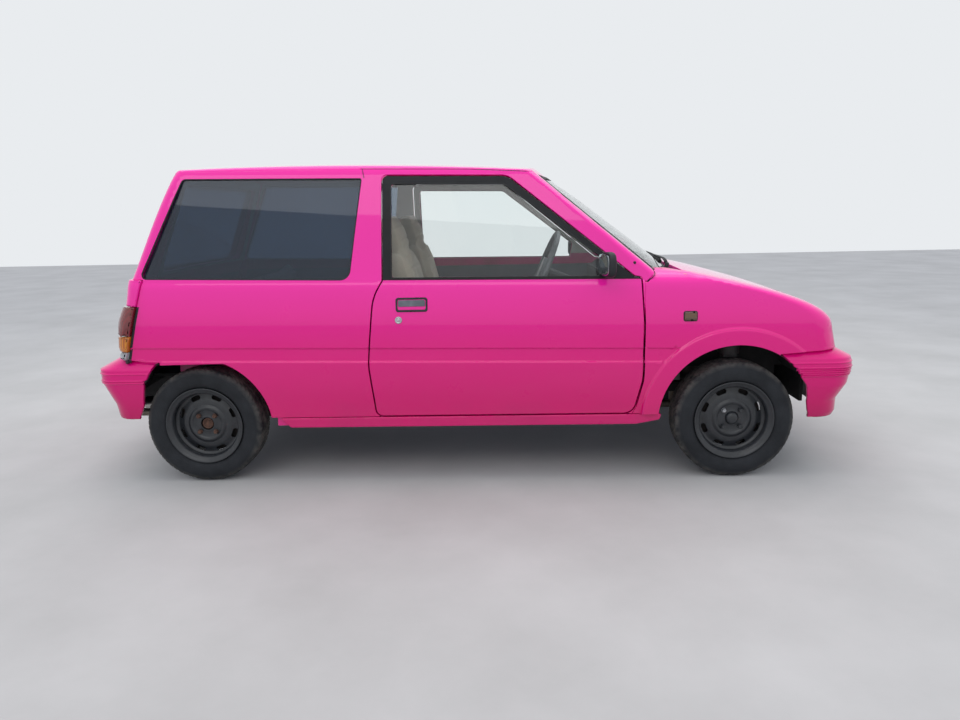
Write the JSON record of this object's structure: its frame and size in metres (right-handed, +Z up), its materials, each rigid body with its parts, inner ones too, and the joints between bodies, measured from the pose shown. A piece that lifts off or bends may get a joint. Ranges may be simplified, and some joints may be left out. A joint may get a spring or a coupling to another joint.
{
  "type": "kei car",
  "caption": "Three-door kei-class hatchback with opening doors, bonnet, tailgate and fuel lid, steered front wheels and turning road wheels.",
  "frame": {"origin": "on the ground, at mid length and on the middle plane", "axes": "+X forward, +Y to the left side, +Z up"},
  "size_m": [3.2949, 1.6, 1.3679],
  "materials": {
    "paint": "glossy magenta pink paint",
    "bumper_paint": "moulded plastic painted magenta pink",
    "underbody": "dark underbody coat with road dust",
    "engine": "oily cast block",
    "black_steel": "black painted steel, dusty",
    "exhaust_steel": "heat-stained steel",
    "seat_cloth": "beige knitted cloth",
    "dash_plastic": "dark grey grained plastic",
    "glass": "clear safety glass",
    "tinted_glass": "dark tinted glass",
    "lamp_red": "red and amber moulded lens",
    "lamp_clear": "clear lens over a bright reflector",
    "black_plastic": "black moulded plastic",
    "cast_iron": "rust-brown cast iron",
    "tyre": "dusty black rubber",
    "rim_steel": "black painted pressed steel, chipped"
  },
  "bodies": {
    "car_body": {"body_side_right": "paint", "body_side_left": "paint", "roof_panel": "paint", "front_wings": "paint", "front_bumper": "bumper_paint", "rear_bumper": "bumper_paint", "floor_pan": "underbody", "bulkhead": "underbody", "front_structure": "underbody", "engine_block": "engine", "front_suspension": "black_steel", "rear_axle": "black_steel", "exhaust": "exhaust_steel", "fuel_tank": "black_steel", "front_seats": "seat_cloth", "rear_seat": "seat_cloth", "dashboard": "dash_plastic", "steering_column": "dash_plastic", "windscreen": "glass", "quarter_glass": "tinted_glass", "tail_lamps": "lamp_red", "headlamps": "lamp_clear", "grille": "black_plastic"},
    "bonnet": {"bonnet": "paint"},
    "tailgate": {"tailgate": "paint", "tailgate_glass": "tinted_glass"},
    "fuel_lid": {"fuel_lid": "paint"},
    "steering_wheel": {"steering_wheel": "dash_plastic"},
    "door_right": {"door_right": "paint", "door_glass_right": "glass", "mirror_right": "black_plastic"},
    "knuckle_right": {"knuckle_right": "cast_iron"},
    "wheel_front_right": {"tyre_front_right": "tyre", "rim_front_right": "rim_steel"},
    "wheel_rear_right": {"tyre_rear_right": "tyre", "rim_rear_right": "rim_steel"},
    "door_left": {"door_left": "paint", "door_glass_left": "glass", "mirror_left": "black_plastic"},
    "knuckle_left": {"knuckle_left": "cast_iron"},
    "wheel_front_left": {"tyre_front_left": "tyre", "rim_front_left": "rim_steel"},
    "wheel_rear_left": {"tyre_rear_left": "tyre", "rim_rear_left": "rim_steel"}
  },
  "joints": [
    {"name": "door_right_hinge", "type": "hinge", "parent": "car_body", "child": "door_right", "pos_m": [0.753, -0.691, 0.6], "axis": [0, 0, 1], "range_deg": [0, 65]},
    {"name": "steer_right", "type": "hinge", "parent": "car_body", "child": "knuckle_right", "pos_m": [1.1225, -0.545, 0.252], "axis": [0, 0, 1], "range_deg": [-33, 33]},
    {"name": "wheel_front_right_spin", "type": "hinge", "parent": "knuckle_right", "child": "wheel_front_right", "pos_m": [1.1225, -0.6075, 0.252], "axis": [0, 1, 0], "continuous": true},
    {"name": "wheel_rear_right_spin", "type": "hinge", "parent": "car_body", "child": "wheel_rear_right", "pos_m": [-1.1575, -0.6025, 0.252], "axis": [0, 1, 0], "continuous": true},
    {"name": "door_left_hinge", "type": "hinge", "parent": "car_body", "child": "door_left", "pos_m": [0.753, 0.691, 0.6], "axis": [0, 0, -1], "range_deg": [0, 65]},
    {"name": "steer_left", "type": "hinge", "parent": "car_body", "child": "knuckle_left", "pos_m": [1.1225, 0.545, 0.252], "axis": [0, 0, 1], "range_deg": [-33, 33]},
    {"name": "wheel_front_left_spin", "type": "hinge", "parent": "knuckle_left", "child": "wheel_front_left", "pos_m": [1.1225, 0.6075, 0.252], "axis": [0, 1, 0], "continuous": true},
    {"name": "wheel_rear_left_spin", "type": "hinge", "parent": "car_body", "child": "wheel_rear_left", "pos_m": [-1.1575, 0.6025, 0.252], "axis": [0, 1, 0], "continuous": true},
    {"name": "steering_turn", "type": "hinge", "parent": "car_body", "child": "steering_wheel", "pos_m": [0.332, -0.34, 0.877], "axis": [-0.9239, 0, 0.3827], "range_deg": [-540, 540]},
    {"name": "bonnet_hinge", "type": "hinge", "parent": "car_body", "child": "bonnet", "pos_m": [0.893, 0, 0.8846], "axis": [0, -1, 0], "range_deg": [0, 50]},
    {"name": "tailgate_hinge", "type": "hinge", "parent": "car_body", "child": "tailgate", "pos_m": [-1.24, 0, 1.344], "axis": [0, 1, 0], "range_deg": [0, 80]},
    {"name": "fuel_lid_hinge", "type": "hinge", "parent": "car_body", "child": "fuel_lid", "pos_m": [-0.915, 0.684, 0.7], "axis": [0, 0, -1], "range_deg": [0, 85]}
  ],
  "couplings": [
    {"joint": "steer_right", "follows": "steering_turn", "ratio": 0.061111},
    {"joint": "steer_left", "follows": "steering_turn", "ratio": 0.061111}
  ]
}
